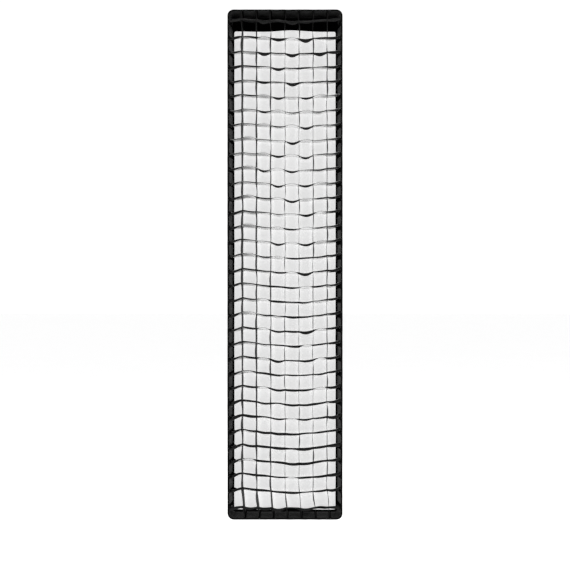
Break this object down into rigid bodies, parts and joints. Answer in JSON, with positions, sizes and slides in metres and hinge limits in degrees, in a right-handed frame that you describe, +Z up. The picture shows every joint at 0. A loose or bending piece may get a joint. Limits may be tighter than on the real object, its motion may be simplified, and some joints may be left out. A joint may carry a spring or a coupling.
{
  "type": "strip softbox",
  "caption": "Tall narrow strip softbox: bowed cloth shell on sprung rods, speedring with a turning bayonet mount, inner baffle, recessed front diffuser and removable fabric grid.",
  "frame": {"origin": "centre of the insert's face that seats against the lamp head", "axes": "+Y out of the back along the mount's axis towards the lamp, -Y towards the subject, +Z up along the tall side, +X to the right seen from the front"},
  "size_m": [0.405, 0.499, 1.8],
  "materials": {
    "black_cloth": "coated black nylon cloth, low sheen",
    "white_cloth": "white diffusion cloth, fine plain weave",
    "webbing": "black woven tape, elastic and hook-and-loop",
    "spring_steel": "drawn spring steel",
    "zinc_steel": "bright zinc plate",
    "cast_alloy": "black powder coat on die-cast alloy",
    "hard_plastic": "moulded black nylon"
  },
  "bodies": {
    "light_mount": {"mount_insert": "zinc_steel"},
    "softbox": {"insert_retainer": "zinc_steel", "retainer_screw_1": "zinc_steel", "retainer_screw_2": "zinc_steel", "retainer_screw_3": "zinc_steel", "retainer_screw_4": "zinc_steel", "speedring": "cast_alloy", "rod_cap_top_left": "hard_plastic", "rod_cap_top_right": "hard_plastic", "rod_cap_bottom_left": "hard_plastic", "rod_cap_bottom_right": "hard_plastic", "rod_top_left": "spring_steel", "rod_top_right": "spring_steel", "rod_bottom_left": "spring_steel", "rod_bottom_right": "spring_steel", "rod_ferrule_top_left": "spring_steel", "rod_ferrule_top_right": "spring_steel", "rod_ferrule_bottom_left": "spring_steel", "rod_ferrule_bottom_right": "spring_steel", "panel_left": "black_cloth", "panel_right": "black_cloth", "panel_top": "black_cloth", "panel_bottom": "black_cloth", "rear_collar": "black_cloth", "front_lip_top": "black_cloth", "front_lip_left": "black_cloth", "front_lip_bottom": "black_cloth", "front_lip_right": "black_cloth", "collar_strap": "webbing", "rim_binding": "webbing", "grid_loop_tape": "webbing", "diffuser_loop_tape": "webbing", "baffle_binding": "webbing", "corner_seam_top_left": "webbing", "corner_seam_top_right": "webbing", "corner_seam_bottom_left": "webbing", "corner_seam_bottom_right": "webbing", "corner_pocket_top_left": "webbing", "corner_pocket_top_right": "webbing", "corner_pocket_bottom_left": "webbing", "corner_pocket_bottom_right": "webbing", "baffle_tab_1": "webbing", "baffle_tab_2": "webbing", "baffle_tab_3": "webbing", "baffle_tab_4": "webbing", "baffle_tab_5": "webbing", "baffle_tab_6": "webbing", "inner_baffle": "white_cloth"},
    "lock_screw": {"lock_stem": "zinc_steel"},
    "lock_handle": {"lock_knob": "hard_plastic"},
    "diffuser": {"front_diffuser": "white_cloth", "diffuser_hem": "webbing", "diffuser_hook_tape": "webbing"},
    "grid": {"grid_lattice": "black_cloth", "grid_band": "black_cloth"}
  },
  "joints": [
    {"name": "mount_turn", "type": "hinge", "parent": "light_mount", "child": "softbox", "pos_m": [0, 0, 0], "axis": [0, 1, 0], "continuous": true},
    {"name": "lock_travel", "type": "slide", "parent": "softbox", "child": "lock_screw", "axis": [1, 0, 0], "range_m": [0, 0.0024]},
    {"name": "lock_turn", "type": "hinge", "parent": "lock_screw", "child": "lock_handle", "pos_m": [0.0895, -0.0105, 0], "axis": [1, 0, 0], "range_deg": [0, 1085]},
    {"name": "diffuser_off", "type": "slide", "parent": "softbox", "child": "diffuser", "axis": [0, -1, 0], "range_m": [0, 0.12]},
    {"name": "grid_off", "type": "slide", "parent": "diffuser", "child": "grid", "axis": [0, -1, 0], "range_m": [0, 0.1]}
  ],
  "couplings": [
    {"joint": "lock_turn", "follows": "lock_travel", "rad_per_m": 7854}
  ]
}
